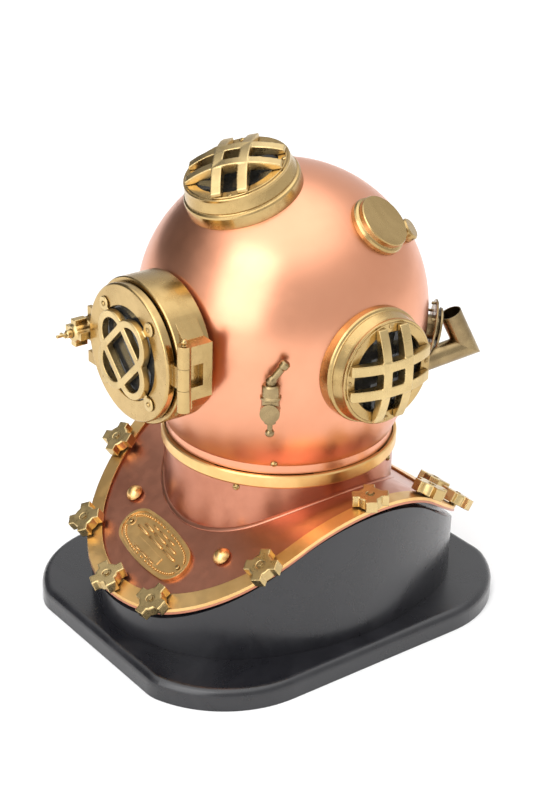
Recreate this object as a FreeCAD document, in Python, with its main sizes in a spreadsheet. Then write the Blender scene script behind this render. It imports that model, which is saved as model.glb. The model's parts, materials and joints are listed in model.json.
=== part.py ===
import FreeCAD, Part
import math
import os
import re
import Sketcher

# A deep-sea diving helmet on its display stand, in millimetres.
# +Z is up, the front of the helmet faces -Y and the wearer's left is +X.
# The origin is on the helmet's axis, on the flat underside of the stand.

SIZES = {
    # stand
    "plinth_half_x": 177.0,
    "plinth_half_y": 212.0,
    "plinth_edge_x": 97.0,
    "plinth_edge_y": 101.0,
    "plinth_corner": 115.0,
    "plinth_shift": -8.0,
    "plinth_high": 22.0,
    "plinth_round": 8.0,
    "block_half_x": 155.0,
    "block_half_y": 196.0,
    "block_end": 145.0,
    "block_shift": -2.0,
    "seat_inset": 12.0,
    "seat_lift": 8.3,
    "screw_x": 80.0,
    "screw_y": 110.0,
    "wood_screw": 2.5,
    "wood_screw_head": 5.0,
    "wood_screw_long": 48.0,
    "wood_screw_sunk": 6.0,
    # saddle curve that the block and the breastplate share, seen from the side
    "crown_high": 153.6,
    "crown_round": 144.3,
    "slope": 35.0,
    "slope_end": 181.3,
    "toe_round": 69.4,
    # breastplate
    "rim_half_x": 162.5,
    "rim_half_y": 197.3,
    "rim_end": 154.5,
    "rim_shift": -4.0,
    "sheet_lift": 8.6,
    "sheet_thick": 2.5,
    "strap_wide": 15.0,
    "strap_thick": 3.5,
    "strap_gap": 0.4,
    "neck_hole": 108.0,
    "collar_out": 115.5,
    "collar_thick": 2.0,
    "collar_screw_high": 173.5,
    "stud_radius": 4.0,
    "stud_inset": 8.0,
    "stud_high": 17.5,
    "stud_tip": 2.6,
    "nut_across": 35.0,
    "nut_lobe": 11.0,
    "nut_hub": 12.5,
    "nut_high": 11.5,
    "nut_raise": 1.0,
    "boss_x": 76.0,
    "boss_y": -123.0,
    "boss_radius": 9.0,
    "boss_high": 9.0,
    "plate_half_x": 56.0,
    "plate_half_y": 24.0,
    "plate_end": 21.0,
    "plate_thick": 4.0,
    "plate_rim": 3.0,
    "plate_sunk": 1.5,
    "plate_x": -3.0,
    "plate_y": -147.0,
    "plate_turn": -6.0,
    "plate_pad": 5.0,
    "plate_pad_in": 9.0,
    # neck joint between breastplate and bonnet
    "neck_out": 118.6,
    "neck_low": 177.6,
    "neck_top": 190.7,
    "neck_shelf": 181.0,
    "neck_bore": 115.2,
    "neck_lug": 110.5,
    "neck_lug_low": 186.5,
    "lock_in": 106.0,
    "lock_out": 110.2,
    "lock_lug": 114.9,
    "lock_lug_top": 186.2,
    "lock_low": 181.3,
    "lock_top": 208.0,
    "lug_arc": 40.0,
    # bonnet
    "dome_radius": 142.5,
    "dome_high": 319.7,
    "dome_wall": 2.0,
    "skirt_out": 114.0,
    "bonnet_screw_high": 203.2,
    "skirt_top": 200.0,
    "skirt_low": 191.2,
    "waist_round": 265.6,
    "bed_gap": 0.05,
    # glazed side and top ports, measured from the port's own centre line
    "side_high": 307.7,
    "top_tilt": 21.5,
    "port_hole": 43.5,
    "port_spigot": 43.4,
    "port_bore": 38.0,
    "port_flange": 56.6,
    "port_rim": 51.6,
    "port_step": 143.0,
    "port_bell": 147.0,
    "port_top": 160.3,
    "port_deep": 126.0,
    "glass_radius": 44.0,
    "glass_low": 149.5,
    "glass_thick": 6.0,
    "glass_seat": 148.0,
    "face_radius": 49.0,
    "face_bore": 40.0,
    "face_low": 156.0,
    "face_high": 161.3,
    "bar_wide": 10.0,
    "bar_half": 46.5,
    "bar_space": 12.5,
    "bar_end": 4.0,
    "bar_bow": 11.0,
    "bar_foot": 39.0,
    "bar_under": 4.5,
    "port_screw": 46.3,
    # front port: fixed seat and hinged door
    "door_height": 311.5,
    "seat_hole": 58.0,
    "seat_spigot": 57.9,
    "seat_bore": 50.0,
    "seat_deep": 112.0,
    "seat_neck": 63.0,
    "seat_back": 133.0,
    "seat_body": 70.7,
    "seat_face": 169.5,
    "door_radius": 66.5,
    "door_low": 170.8,
    "door_face": 180.0,
    "door_round": 2.5,
    "door_bore": 45.0,
    "door_glass": 50.0,
    "door_glass_low": 172.8,
    "door_glass_thick": 5.0,
    "loop_half": 20.5,
    "loop_reach": 38.0,
    "loop_wide": 7.0,
    "loop_thick": 7.5,
    "loop_stand": 2.0,
    "loop_foot": 52.8,
    "loop_pad": 7.0,
    "hinge_x": 77.6,
    "hinge_reach": 169.7,
    "knuckle": 6.5,
    "hinge_pin": 3.0,
    "hinge_low": 281.0,
    "hinge_top": 346.0,
    "middle_low": 303.0,
    "middle_top": 324.0,
    "leaf_gap": 0.4,
    "block_out": 79.5,
    "block_front": 163.0,
    "block_low": 281.5,
    "block_top": 343.0,
    "recess_in": 72.0,
    "recess_back": 150.0,
    # latch on the wearer's right of the door
    "latch_x": -81.0,
    "latch_height": 304.5,
    "latch_pivot": 140.0,
    "latch_eye": 7.5,
    "latch_eye_high": 12.0,
    "latch_pin": 3.0,
    "latch_shank": 4.0,
    "latch_end": 197.0,
    "latch_tip": 208.0,
    "latch_tip_radius": 1.6,
    "washer_low": 163.0,
    "washer_radius": 12.8,
    "washer_thick": 2.0,
    "wing_nut_high": 26.0,
    "wing_nut_hub": 9.0,
    "wing_span": 13.8,
    "wing_half": 4.0,
    "ear_low": 171.0,
    "ear_thick": 4.5,
    "ear_out": 76.0,
    "upper_ear_low": 321.0,
    "upper_ear_top": 331.5,
    "lower_ear_low": 273.5,
    "lower_ear_top": 285.0,
    # spitcock
    "cock_turn": 49.0,
    "cock_out": 152.0,
    "cock_barrel": 8.5,
    "cock_low": 272.0,
    "cock_top": 304.0,
    "cock_boss": 8.0,
    "cock_disc": 9.2,
    "spout_end": 251.0,
    "spout_bead": 258.0,
    "spout_shoulder": 264.0,
    "spout_radius": 2.5,
    "spout_root": 5.5,
    "lever_radius": 4.8,
    "lever_long": 24.0,
    "lever_tilt": 35.0,
    # rear fittings
    "cap_polar": 44.6,
    "cap_turn": 112.0,
    "cap_base": 30.0,
    "cap_face": 26.5,
    "cap_reach": 152.5,
    "valve_turn": 142.0,
    "valve_dip": 8.0,
    "valve_stem": 12.0,
    "valve_base": 28.0,
    "valve_base_low": 147.8,
    "valve_cap": 20.5,
    "valve_cap_low": 154.0,
    "valve_plate": 2.2,
    "valve_screw": 24.0,
    "elbow_turn": 142.0,
    "elbow_high": 257.0,
    "elbow_reach": 128.0,
    "elbow_heading": 165.0,
    "elbow_rise": 12.0,
    "elbow_pipe": 11.3,
    "elbow_bore": 10.3,
    "elbow_foot": 15.4,
    "elbow_out": 62.0,
    "elbow_up": 40.0,
    "elbow_foot_high": 10.0,
    "stub_radius": 11.0,
    "stub_reach": 151.5,
    "fitting_root": 118.0,
    # small screws
    "small_head": 2.4,
    "small_head_high": 1.2,
    "small_shank": 1.4,
    "small_long": 6.0,
    "round_head": 3.4,
    "round_head_high": 2.4,
}

NUT_ANGLES = (-65, -34, -2.5, 19, 58.5, 89.5, 110, 139.5, 171, 201, 232, 264)
CROSS_ANGLES = (0, 90, 180, 270)
COLLAR_SCREW_TURN = 32.3
BONNET_SCREW_TURN = 50.4
ELBOW_RISE = (-0.214, -0.387, 0.897)
PLATE_OUT = 400.0
# Blanks and cutting tools run to these lengths, beyond anything they meet.
FAR = 300.0
CUT_LOW = 60.0
CUT_HIGH = 260.0

doc = FreeCAD.newDocument("diving_helmet")
sheet = doc.addObject("Spreadsheet::Sheet", "Sizes")
for row, (alias, value) in enumerate(SIZES.items(), start=1):
    sheet.set("A%d" % row, alias)
    sheet.set("B%d" % row, str(value))
    sheet.setAlias("B%d" % row, alias)
doc.recompute()

X_AXIS = FreeCAD.Vector(1, 0, 0)
Y_AXIS = FreeCAD.Vector(0, 1, 0)
Z_AXIS = FreeCAD.Vector(0, 0, 1)
nodes = []


# Expressions -----------------------------------------------------------------

def linked(expression):
    """Point every size name in an expression at its cell in the sheet."""
    def cell(word):
        return "Sizes." + word[0] if word[0] in SIZES else word[0]
    return re.sub(r"[a-z][a-z_]*", cell, str(expression))


def size(expression):
    """Work out an expression of size names as a plain number."""
    return float(sheet.evalExpression(str(expression)))


def bind(thing, name, expression):
    """Drive one property of a document object from the sheet."""
    thing.setExpression(name, linked(expression))


# Sketches --------------------------------------------------------------------

def pin_point(sketch, curve, end, x, y):
    """Hold one end of a curve at (x, y), both driven by the sheet."""
    for kind, value, axis in (("DistanceX", x, -2), ("DistanceY", y, -1)):
        number = size(value)
        if abs(number) < 1e-9:
            sketch.addConstraint(Sketcher.Constraint("PointOnObject", curve, end, axis))
        else:
            rule = Sketcher.Constraint(kind, -1, 1, curve, end, number)
            bind(sketch, "Constraints[%d]" % sketch.addConstraint(rule), value)


def draw_outline(sketch, corners):
    """Draw a closed outline of (x, y) corners.

    A third value is the radius of an arc that runs on to the next corner: positive for an arc
    that turns left (anticlockwise), negative for one that turns right.
    """
    ends = []
    count = len(corners)
    for index, corner in enumerate(corners):
        following = corners[(index + 1) % count]
        start = FreeCAD.Vector(size(corner[0]), size(corner[1]), 0)
        stop = FreeCAD.Vector(size(following[0]), size(following[1]), 0)
        if len(corner) == 2:
            curve = sketch.addGeometry(Part.LineSegment(start, stop), False)
            ends.append((curve, 1, 2))
            continue
        radius = size(corner[2])
        chord = stop - start
        side = FreeCAD.Vector(-chord.y, chord.x, 0) / chord.Length
        depth = math.sqrt(radius ** 2 - (chord.Length / 2) ** 2)
        centre = start + chord / 2 + side * math.copysign(depth, radius)
        first, last = (start, stop) if radius > 0 else (stop, start)
        circle = Part.Circle(centre, Z_AXIS, abs(radius))
        arc = Part.ArcOfCircle(circle, circle.parameter(first), circle.parameter(last))
        curve = sketch.addGeometry(arc, False)
        rule = Sketcher.Constraint("Radius", curve, abs(radius))
        bind(sketch, "Constraints[%d]" % sketch.addConstraint(rule), "abs(%s)" % corner[2])
        ends.append((curve, 1, 2) if radius > 0 else (curve, 2, 1))
    for index, (curve, begin, _) in enumerate(ends):
        before, _, finish = ends[index - 1]
        sketch.addConstraint(Sketcher.Constraint("Coincident", before, finish, curve, begin))
        pin_point(sketch, curve, begin, corners[index][0], corners[index][1])


def sketch_on(body, plane, name):
    """Start a sketch on one of the body's own origin planes."""
    sketch = body.newObject("Sketcher::SketchObject", name)
    face = next(f for f in body.Origin.OriginFeatures if f.Role == plane)
    sketch.AttachmentSupport = [(face, "")]
    sketch.MapMode = "FlatFace"
    return sketch


# Solids ----------------------------------------------------------------------

def new_body(label):
    """Start a PartDesign body."""
    body = doc.addObject("PartDesign::Body", label)
    body.Label = label
    return body


def turned(label, outline):
    """Revolve an outline of (radius, height) corners about Z."""
    body = new_body(label)
    sketch = sketch_on(body, "XZ_Plane", label + "_section")
    draw_outline(sketch, outline)
    spin = body.newObject("PartDesign::Revolution", label + "_turn")
    spin.Profile = sketch
    spin.ReferenceAxis = (sketch, ["V_Axis"])
    spin.Angle = 360.0
    body.Tip = spin
    return body


def add_lugs(body, outline, arc, count):
    """Add a turned sector to a body, centred on +X, and repeat it round Z."""
    sketch = sketch_on(body, "XZ_Plane", body.Label + "_lug_section")
    draw_outline(sketch, outline)
    spin = body.newObject("PartDesign::Revolution", body.Label + "_lug")
    spin.Profile = sketch
    spin.ReferenceAxis = (sketch, ["V_Axis"])
    spin.Midplane = True
    bind(spin, "Angle", arc)
    doc.recompute()
    ring = body.newObject("PartDesign::PolarPattern", body.Label + "_lugs")
    ring.Originals = [spin]
    ring.Axis = (sketch, ["V_Axis"])
    ring.Angle = 360.0
    ring.Occurrences = count
    body.Tip = ring


def plate(label, outline, thick, plane="XY_Plane", middle=False):
    """Pad an outline; on the XY plane it grows upwards, and middle centres it on its plane."""
    body = new_body(label)
    sketch = sketch_on(body, plane, label + "_outline")
    draw_outline(sketch, outline)
    pad = body.newObject("PartDesign::Pad", label + "_pad")
    pad.Profile = sketch
    pad.Midplane = middle
    bind(pad, "Length", thick)
    body.Tip = pad
    return body


def rod(label, radius, low, high):
    """A cylinder about Z between two heights."""
    cylinder = doc.addObject("Part::Cylinder", label)
    bind(cylinder, "Radius", radius)
    bind(cylinder, "Height", "(%s) - (%s)" % (high, low))
    cylinder.Placement = FreeCAD.Placement(FreeCAD.Vector(0, 0, size(low)), FreeCAD.Rotation())
    bind(cylinder, "Placement.Base.z", low)
    return cylinder


def block(label, x, y, z):
    """A box given by its (low, high) limits along each axis."""
    box = doc.addObject("Part::Box", label)
    for side, base, (low, high) in (("Length", "x", x), ("Width", "y", y), ("Height", "z", z)):
        bind(box, side, "(%s) - (%s)" % (high, low))
        bind(box, "Placement.Base." + base, low)
    return box


def cut(label, base, *tools):
    """Take the tools away from the base."""
    tool = tools[0] if len(tools) == 1 else fuse(label + "_tools", *tools)
    result = doc.addObject("Part::Cut", label)
    result.Base = base
    result.Tool = tool
    return result


def fuse(label, *shapes):
    """Join shapes into one solid."""
    result = doc.addObject("Part::MultiFuse", label)
    result.Shapes = list(shapes)
    return result


def common(label, *shapes):
    """Keep what every shape shares."""
    result = doc.addObject("Part::MultiCommon", label)
    result.Shapes = list(shapes)
    return result


def place(thing, x=0, y=0, z=0, axis=Z_AXIS, angle=0):
    """Turn a thing by an angle about an axis through its origin, then move it."""
    turn = FreeCAD.Rotation(axis, size(angle))
    thing.Placement = FreeCAD.Placement(FreeCAD.Vector(size(x), size(y), size(z)), turn)
    for name, value in (("x", x), ("y", y), ("z", z)):
        bind(thing, "Placement.Base." + name, value)
    return thing


def framed(thing, frame):
    """Carry a piece along with a frame: its place is then fixed, no longer driven by the sheet."""
    for name in ("x", "y", "z"):
        thing.setExpression("Placement.Base." + name, None)
    thing.Placement = frame.multiply(thing.Placement)
    return thing


def spun(angle):
    """Frame that is only turned about Z."""
    return FreeCAD.Placement(FreeCAD.Vector(0, 0, 0), FreeCAD.Rotation(Z_AXIS, angle))


def copies(label, master, placements):
    """A group of separate copies of one fastener or of one fastener's hole."""
    doc.recompute()
    group = doc.addObject("Part::Feature", label)
    group.Shape = Part.makeCompound([master.Shape.transformed(p.toMatrix(), True) for p in placements])
    return group


def node(thing, label):
    """Register a finished piece under its own name."""
    thing.Label = label
    nodes.append(thing)
    return thing


# Shared outlines and places --------------------------------------------------

def oval(half_x, half_y, end_radius, shift=0):
    """Oval of four tangent arcs, longer along Y, centred at y = shift."""
    rise = "((%s) - (%s))" % (half_y, end_radius)
    side = "(((%s)^2 + %s^2 - (%s)^2) / (2 * ((%s) - (%s))))" % (
        half_x, rise, end_radius, half_x, end_radius)
    scale = "(%s - (%s))" % (side, end_radius)
    x = "((%s - (%s)) * (%s) / %s)" % (side, half_x, end_radius, scale)
    y = "(%s * %s / %s)" % (rise, side, scale)
    low = "(%s) - %s" % (shift, y)
    high = "(%s) + %s" % (shift, y)
    return [(x, low, side), (x, high, end_radius), ("-" + x, high, side), ("-" + x, low, end_radius)]


def cap_radius(half, rise):
    """Radius of a round cap from its half width and its rise."""
    return "((%s)^2 + (%s)^2) / (2 * (%s))" % (half, rise, rise)


def box_outline(low_x, high_x, low_y, high_y):
    """Four corners of a rectangle."""
    return [(low_x, low_y), (high_x, low_y), (high_x, high_y), (low_x, high_y)]


def saddle(lift):
    """Side view of everything under the saddle curve, raised by lift."""
    crown_y = "crown_round * sin(slope)"
    crown_z = "crown_high - crown_round * (1 - cos(slope)) + (%s)" % lift
    slope_z = "%s - (slope_end - %s) * tan(slope)" % (crown_z, crown_y)
    toe_y = "slope_end + toe_round * sin(slope)"
    toe_z = "%s - toe_round * (1 - cos(slope))" % slope_z
    return [
        ("-(%s)" % toe_y, 0),
        (toe_y, 0),
        (toe_y, toe_z, "-toe_round"),
        ("slope_end", slope_z),
        (crown_y, crown_z, "crown_round"),
        ("-" + crown_y, crown_z),
        ("-slope_end", slope_z, "-toe_round"),
        ("-(%s)" % toe_y, toe_z),
    ]


def saddle_height(y):
    """Height of the saddle curve and the angle of its slope at one y."""
    slope = math.radians(SIZES["slope"])
    crown_y = SIZES["crown_round"] * math.sin(slope)
    crown_z = SIZES["crown_high"] - SIZES["crown_round"] * (1 - math.cos(slope))
    reach = abs(y)
    if reach <= crown_y:
        lean = math.asin(reach / SIZES["crown_round"])
        height = SIZES["crown_high"] - SIZES["crown_round"] * (1 - math.cos(lean))
    elif reach <= SIZES["slope_end"]:
        lean = slope
        height = crown_z - (reach - crown_y) * math.tan(slope)
    else:
        toe_y = SIZES["slope_end"] + SIZES["toe_round"] * math.sin(slope)
        lean = math.asin((toe_y - reach) / SIZES["toe_round"])
        slope_z = crown_z - (SIZES["slope_end"] - crown_y) * math.tan(slope)
        height = slope_z - SIZES["toe_round"] * (math.cos(lean) - math.cos(slope))
    return height, math.copysign(lean, y)


def on_saddle(x, y, lift, turn=0.0):
    """Stand a piece square on the saddle curve at (x, y), lifted straight up by lift."""
    height, lean = saddle_height(y)
    tilt = FreeCAD.Rotation(X_AXIS, -math.degrees(lean))
    spin = FreeCAD.Rotation(Z_AXIS, turn)
    return FreeCAD.Placement(FreeCAD.Vector(x, y, height + lift), tilt.multiply(spin))


def outward(angle, height, radius, dip=0):
    """Point a piece's Z axis outwards, tipped down by dip, at an angle from the front."""
    turn = FreeCAD.Rotation(Z_AXIS, angle).multiply(FreeCAD.Rotation(X_AXIS, 90 + dip))
    reach = FreeCAD.Rotation(Z_AXIS, angle).multVec(FreeCAD.Vector(0, -radius, height))
    return FreeCAD.Placement(reach, turn)


def round_axis(radius, height, angles):
    """Places on a circle about Z, each turned to face away from the axis."""
    places = []
    for angle in angles:
        turn = FreeCAD.Rotation(Z_AXIS, angle)
        places.append(FreeCAD.Placement(turn.multVec(FreeCAD.Vector(radius, 0, height)), turn))
    return places


def moved(placement, places):
    """Carry a list of places along with one placement."""
    return [placement.multiply(p) for p in places]


def rim_place(angle, inset):
    """Point inside the breastplate's rim by inset, at an angle from the front towards +X."""
    outline_power = 2 / 2.28
    turn = math.radians(angle)
    across = math.copysign(abs(math.sin(turn)) ** outline_power, math.sin(turn))
    along = -math.copysign(abs(math.cos(turn)) ** outline_power, math.cos(turn))
    x = (SIZES["rim_half_x"] - inset) * across
    y = SIZES["rim_shift"] + (SIZES["rim_half_y"] - inset) * along
    return x, y


# Fasteners -------------------------------------------------------------------

def screw(label, head, head_high, shank, long):
    """Domed screw with a slotted head: its head stands on z = 0 and its shank goes down."""
    solid = turned(label + "_blank", [
        (0, "-(%s)" % long), (shank, "-(%s)" % long), (shank, 0), (head, 0),
        (head, "(%s) * 0.4" % head_high), ("(%s) * 0.6" % head, head_high), (0, head_high),
    ])
    slot = block(label + "_slot", ("-(%s) * 1.2" % head, "(%s) * 1.2" % head),
                 ("-(%s) * 0.15" % head, "(%s) * 0.15" % head), ("(%s) * 0.5" % head_high, 20))
    return cut(label, solid, slot)


small_screw = screw("small_screw", "small_head", "small_head_high", "small_shank", "small_long")
small_hole = rod("small_hole", "small_shank + bed_gap", "-(small_long + bed_gap)", 20)
round_screw = screw("round_screw", "round_head", "round_head_high", "small_shank", "small_long")


# Stand -----------------------------------------------------------------------

def plinth_outline():
    """Rectangle with straight edges and large round corners."""
    x, y = "plinth_half_x", "plinth_half_y"
    edge_x, edge_y = "plinth_edge_x", "plinth_edge_y"
    low, high = "plinth_shift - ", "plinth_shift + "
    corner = "plinth_corner"
    return [
        ("-" + edge_x, low + y), (edge_x, low + y, corner), (x, low + edge_y),
        (x, high + edge_y, corner), (edge_x, high + y), ("-" + edge_x, high + y, corner),
        ("-" + x, high + edge_y), ("-" + x, low + edge_y, corner),
    ]


def upright(edge, solid):
    """Whether an edge stands vertically."""
    return edge.BoundBox.XLength < 0.01 and edge.BoundBox.YLength < 0.01


def uppermost(edge, solid):
    """Whether an edge lies in the top face."""
    return edge.BoundBox.ZMin > solid.BoundBox.ZMax - 0.01


def round_edges(body, label, wanted, radius):
    """Fillet the edges of a body that a test picks."""
    doc.recompute()
    edges = ["Edge%d" % number for number, edge in enumerate(body.Shape.Edges, start=1)
             if wanted(edge, body.Shape)]
    base = body.Tip
    rounded = body.newObject("PartDesign::Fillet", label)
    rounded.Base = (base, edges)
    bind(rounded, "Radius", radius)
    body.Tip = rounded


def make_stand():
    """Plinth, saddle block and the screws that hold them together."""
    board = plate("plinth_board", plinth_outline(), "plinth_high")
    round_edges(board, "plinth_ease", upright, "plinth_corner / 3")
    round_edges(board, "plinth_round_edge", uppermost, "plinth_round")
    places = []
    for x in (-SIZES["screw_x"], SIZES["screw_x"]):
        for y in (-SIZES["screw_y"], SIZES["screw_y"]):
            places.append(FreeCAD.Placement(FreeCAD.Vector(x, y, 0), FreeCAD.Rotation()))
    screw_blank = turned("stand_screw", [
        (0, "wood_screw_sunk - 3"), ("wood_screw_head", "wood_screw_sunk - 3"),
        ("wood_screw_head", "wood_screw_sunk"), ("wood_screw", "wood_screw_sunk"),
        ("wood_screw", "wood_screw_long - 4"), (0, "wood_screw_long"),
    ])
    hole_blank = turned("stand_screw_hole", [
        (0, -1), ("wood_screw_head + 0.5", -1), ("wood_screw_head + 0.5", "wood_screw_sunk"),
        ("wood_screw + bed_gap", "wood_screw_sunk"), ("wood_screw + bed_gap", "wood_screw_long - 4"),
        (0, "wood_screw_long + bed_gap"),
    ])
    holes = copies("stand_screw_holes", hole_blank, places)
    node(cut("plinth", board, holes), "plinth")
    block_oval = plate("block_oval", oval("block_half_x", "block_half_y", "block_end", "block_shift"),
                       "crown_high + 60")
    outer = common("block_lower", block_oval, plate("block_side", saddle(0), PLATE_OUT, "YZ_Plane", True))
    seat_oval = plate("seat_oval", oval("block_half_x - seat_inset", "block_half_y - seat_inset",
                                        "block_end - seat_inset", "block_shift"), "crown_high + 60")
    inner = common("block_upper", seat_oval,
                   plate("seat_side", saddle("seat_lift"), PLATE_OUT, "YZ_Plane", True))
    below = block("block_foot_cut", (-FAR, FAR), (-FAR, FAR), (-10, "plinth_high"))
    node(cut("saddle_block", fuse("block_whole", outer, inner), below, holes), "saddle_block")
    node(copies("stand_screws", screw_blank, places), "stand_screws")


# Breastplate -----------------------------------------------------------------

def band(label, low, high):
    """Layer between two heights above the saddle curve."""
    upper = plate(label + "_over", saddle(high), PLATE_OUT, "YZ_Plane", True)
    lower = plate(label + "_under", saddle(low), PLATE_OUT + 20, "YZ_Plane", True)
    return cut(label, upper, lower)


def make_breastplate():
    """Sheet, neck collar, straps, studs, nuts, ornaments and nameplate."""
    top = "sheet_lift + sheet_thick"
    studs = []
    for angle in NUT_ANGLES:
        x, y = rim_place(angle, SIZES["stud_inset"])
        studs.append(on_saddle(x, y, SIZES["sheet_lift"]))
    stud_holes = copies("stud_holes", rod("stud_hole", "stud_radius + bed_gap", -12, 30), studs)
    sheet_oval = plate("sheet_oval", oval("rim_half_x", "rim_half_y", "rim_end", "rim_shift"),
                       "crown_high + 60")
    sheet_blank = common("sheet_blank", sheet_oval, band("sheet_band", "sheet_lift", top))
    neck = rod("neck_opening", "neck_hole", CUT_LOW, CUT_HIGH)
    boss_places = [on_saddle(x, SIZES["boss_y"], size(top)) for x in (-SIZES["boss_x"], SIZES["boss_x"])]
    boss_hole = rod("boss_hole", "small_shank + bed_gap", -6, 6)
    boss_holes = copies("boss_holes", boss_hole, boss_places)
    label_place = on_saddle(SIZES["plate_x"], SIZES["plate_y"], size(top), SIZES["plate_turn"])
    label_half = size("plate_half_x - plate_pad_in")
    label_screws = [FreeCAD.Placement(FreeCAD.Vector(x, 0, size("plate_thick")), FreeCAD.Rotation())
                    for x in (-label_half, label_half)]
    label_holes = copies("label_holes", small_hole, moved(label_place, label_screws))
    node(cut("breastplate", sheet_blank, neck, stud_holes, boss_holes, label_holes), "breastplate")

    tube = turned("collar_tube", box_outline("collar_out - collar_thick", "collar_out", 80, "neck_low"))
    under = plate("collar_under", saddle(top + " + bed_gap"), PLATE_OUT, "YZ_Plane", True)
    collar_places = [outward(COLLAR_SCREW_TURN + a, SIZES["collar_screw_high"], SIZES["collar_out"])
                     for a in CROSS_ANGLES]
    collar_holes = copies("collar_holes", small_hole, collar_places)
    node(cut("neck_collar", tube, under, collar_holes), "neck_collar")
    node(copies("collar_screws", round_screw, collar_places), "collar_screws")

    ring = turned("neck_ring", [
        ("neck_hole", "neck_low"), ("neck_out - 1", "neck_low"), ("neck_out", "neck_low + 1.5"),
        ("neck_out", "neck_top - 1.5"), ("neck_out - 1", "neck_top"), ("neck_bore", "neck_top"),
        ("neck_bore", "neck_shelf"), ("neck_hole", "neck_shelf"),
    ])
    add_lugs(ring, box_outline("neck_lug", "neck_bore + 1", "neck_lug_low", "neck_top"), "lug_arc", 4)
    node(ring, "neck_ring")

    strap_low = top + " + bed_gap"
    strap_ring = cut("strap_ring",
                     plate("strap_outer", oval("rim_half_x", "rim_half_y", "rim_end", "rim_shift"), 230),
                     plate("strap_inner", oval("rim_half_x - strap_wide", "rim_half_y - strap_wide",
                                               "rim_end - strap_wide", "rim_shift"), 240))
    strap_band = common("strap_band", strap_ring,
                        band("strap_layer", strap_low, strap_low + " + strap_thick"))
    strap_body = cut("strap_body", strap_band, stud_holes)
    half = "strap_gap / 2"
    spans = {
        "front_left_strap": ((half, FAR), (-FAR, "rim_shift - " + half)),
        "front_right_strap": ((-FAR, "-" + half), (-FAR, "rim_shift - " + half)),
        "rear_left_strap": ((half, FAR), ("rim_shift + " + half, FAR)),
        "rear_right_strap": ((-FAR, "-" + half), ("rim_shift + " + half, FAR)),
    }
    for name, (x, y) in spans.items():
        node(common(name, strap_body, block(name + "_quarter", x, y, (0, FAR))), name)

    stud = turned("stud", [
        (0, 0.4), ("stud_radius", 0.4), ("stud_radius", "stud_high"), ("stud_tip", "stud_high"),
        ("stud_tip", "stud_high + 2"), (0, "stud_high + 2"),
    ])
    node(copies("strap_studs", stud, studs), "strap_studs")
    hub = turned("nut_hub_blank", [
        (0, 0), ("nut_hub", 0), ("nut_hub", "nut_high - 1"), ("nut_hub - 1", "nut_high"), (0, "nut_high"),
    ])
    arm_outline = box_outline("-nut_across / 2", "nut_across / 2", "-nut_lobe / 2", "nut_lobe / 2")
    arm = plate("nut_arm", arm_outline, "nut_high")
    other_arm = place(plate("nut_cross_arm", arm_outline, "nut_high"), angle=90)
    nut = cut("strap_nut", fuse("nut_blank", hub, arm, other_arm),
              rod("nut_bore", "stud_radius + bed_gap", -1, 30))
    nut_lift = size("sheet_thick + strap_thick + nut_raise")
    nut_places = []
    for number, base in enumerate(studs):
        spin = FreeCAD.Rotation(Z_AXIS, 20 + 25 * number)
        nut_places.append(base.multiply(FreeCAD.Placement(FreeCAD.Vector(0, 0, nut_lift), spin)))
    node(copies("strap_nuts", nut, nut_places), "strap_nuts")

    boss = turned("boss", [
        (0, "-sheet_thick * 0.7"), ("small_shank", "-sheet_thick * 0.7"), ("small_shank", 0.1),
        ("boss_radius - 2", 0.1),
        ("boss_radius", "boss_high * 0.3", cap_radius("boss_radius", "boss_high * 0.7")), (0, "boss_high"),
    ])
    node(copies("breastplate_studs", boss, boss_places), "breastplate_studs")

    label_outline = [(y, x) if len(rest) == 0 else (y, x, "-(%s)" % rest[0]) for x, y, *rest in
                     oval("plate_half_y", "plate_half_x", "plate_end")]
    inner_outline = [(y, x) if len(rest) == 0 else (y, x, "-(%s)" % rest[0]) for x, y, *rest in
                     oval("plate_half_y - plate_rim", "plate_half_x - plate_rim", "plate_end - plate_rim")]
    label_blank = plate("label_blank", label_outline, "plate_thick")
    label_recess = place(plate("label_recess", inner_outline, 10), z="plate_thick - plate_sunk")
    label_bar = block("label_bar", ("-plate_half_x * 0.42", "plate_half_x * 0.42"), (-13, -5),
                      (1, "plate_thick - plate_sunk + 0.9"))
    plaque = fuse("label_raised", cut("label_dished", label_blank, label_recess), label_bar)
    pads = [place(rod("label_pad_" + side, "plate_pad", 1, "plate_thick"), x=x) for side, x in
            (("left", "plate_half_x - plate_pad_in"), ("right", "plate_pad_in - plate_half_x"))]
    plaque_whole = fuse("label_whole", plaque, *pads)
    bores = copies("label_bores", small_hole, label_screws)
    nameplate = cut("nameplate", plaque_whole, bores)
    nameplate.Placement = label_place.multiply(
        FreeCAD.Placement(FreeCAD.Vector(0, 0, SIZES["bed_gap"]), FreeCAD.Rotation()))
    node(nameplate, "nameplate")
    plaque_screws = moved(nameplate.Placement, label_screws)
    node(copies("nameplate_screws", small_screw, plaque_screws), "nameplate_screws")


# Bonnet ----------------------------------------------------------------------

def dome_outline(inset):
    """Half section of the bonnet's outer form, offset inwards by inset, as an open list of corners."""
    return [
        ("skirt_out - (%s)" % inset, "skirt_top", "waist_round - (%s)" % inset),
        ("dome_radius - (%s)" % inset, "dome_high", "dome_radius - (%s)" % inset),
    ]


PORT_FRAMES = {
    "left": FreeCAD.Placement(FreeCAD.Vector(0, 0, size("side_high")),
                              FreeCAD.Rotation(Y_AXIS, 90)),
    "right": FreeCAD.Placement(FreeCAD.Vector(0, 0, size("side_high")), FreeCAD.Rotation(Y_AXIS, -90)),
    "top": FreeCAD.Placement(FreeCAD.Vector(0, 0, size("dome_high")),
                             FreeCAD.Rotation(X_AXIS, size("top_tilt"))),
}


def facing(height):
    """Frame whose Z axis points to the front at a height."""
    return FreeCAD.Placement(FreeCAD.Vector(0, 0, size(height)), FreeCAD.Rotation(X_AXIS, 90))


FRONT_FRAME = facing("door_height")


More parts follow.
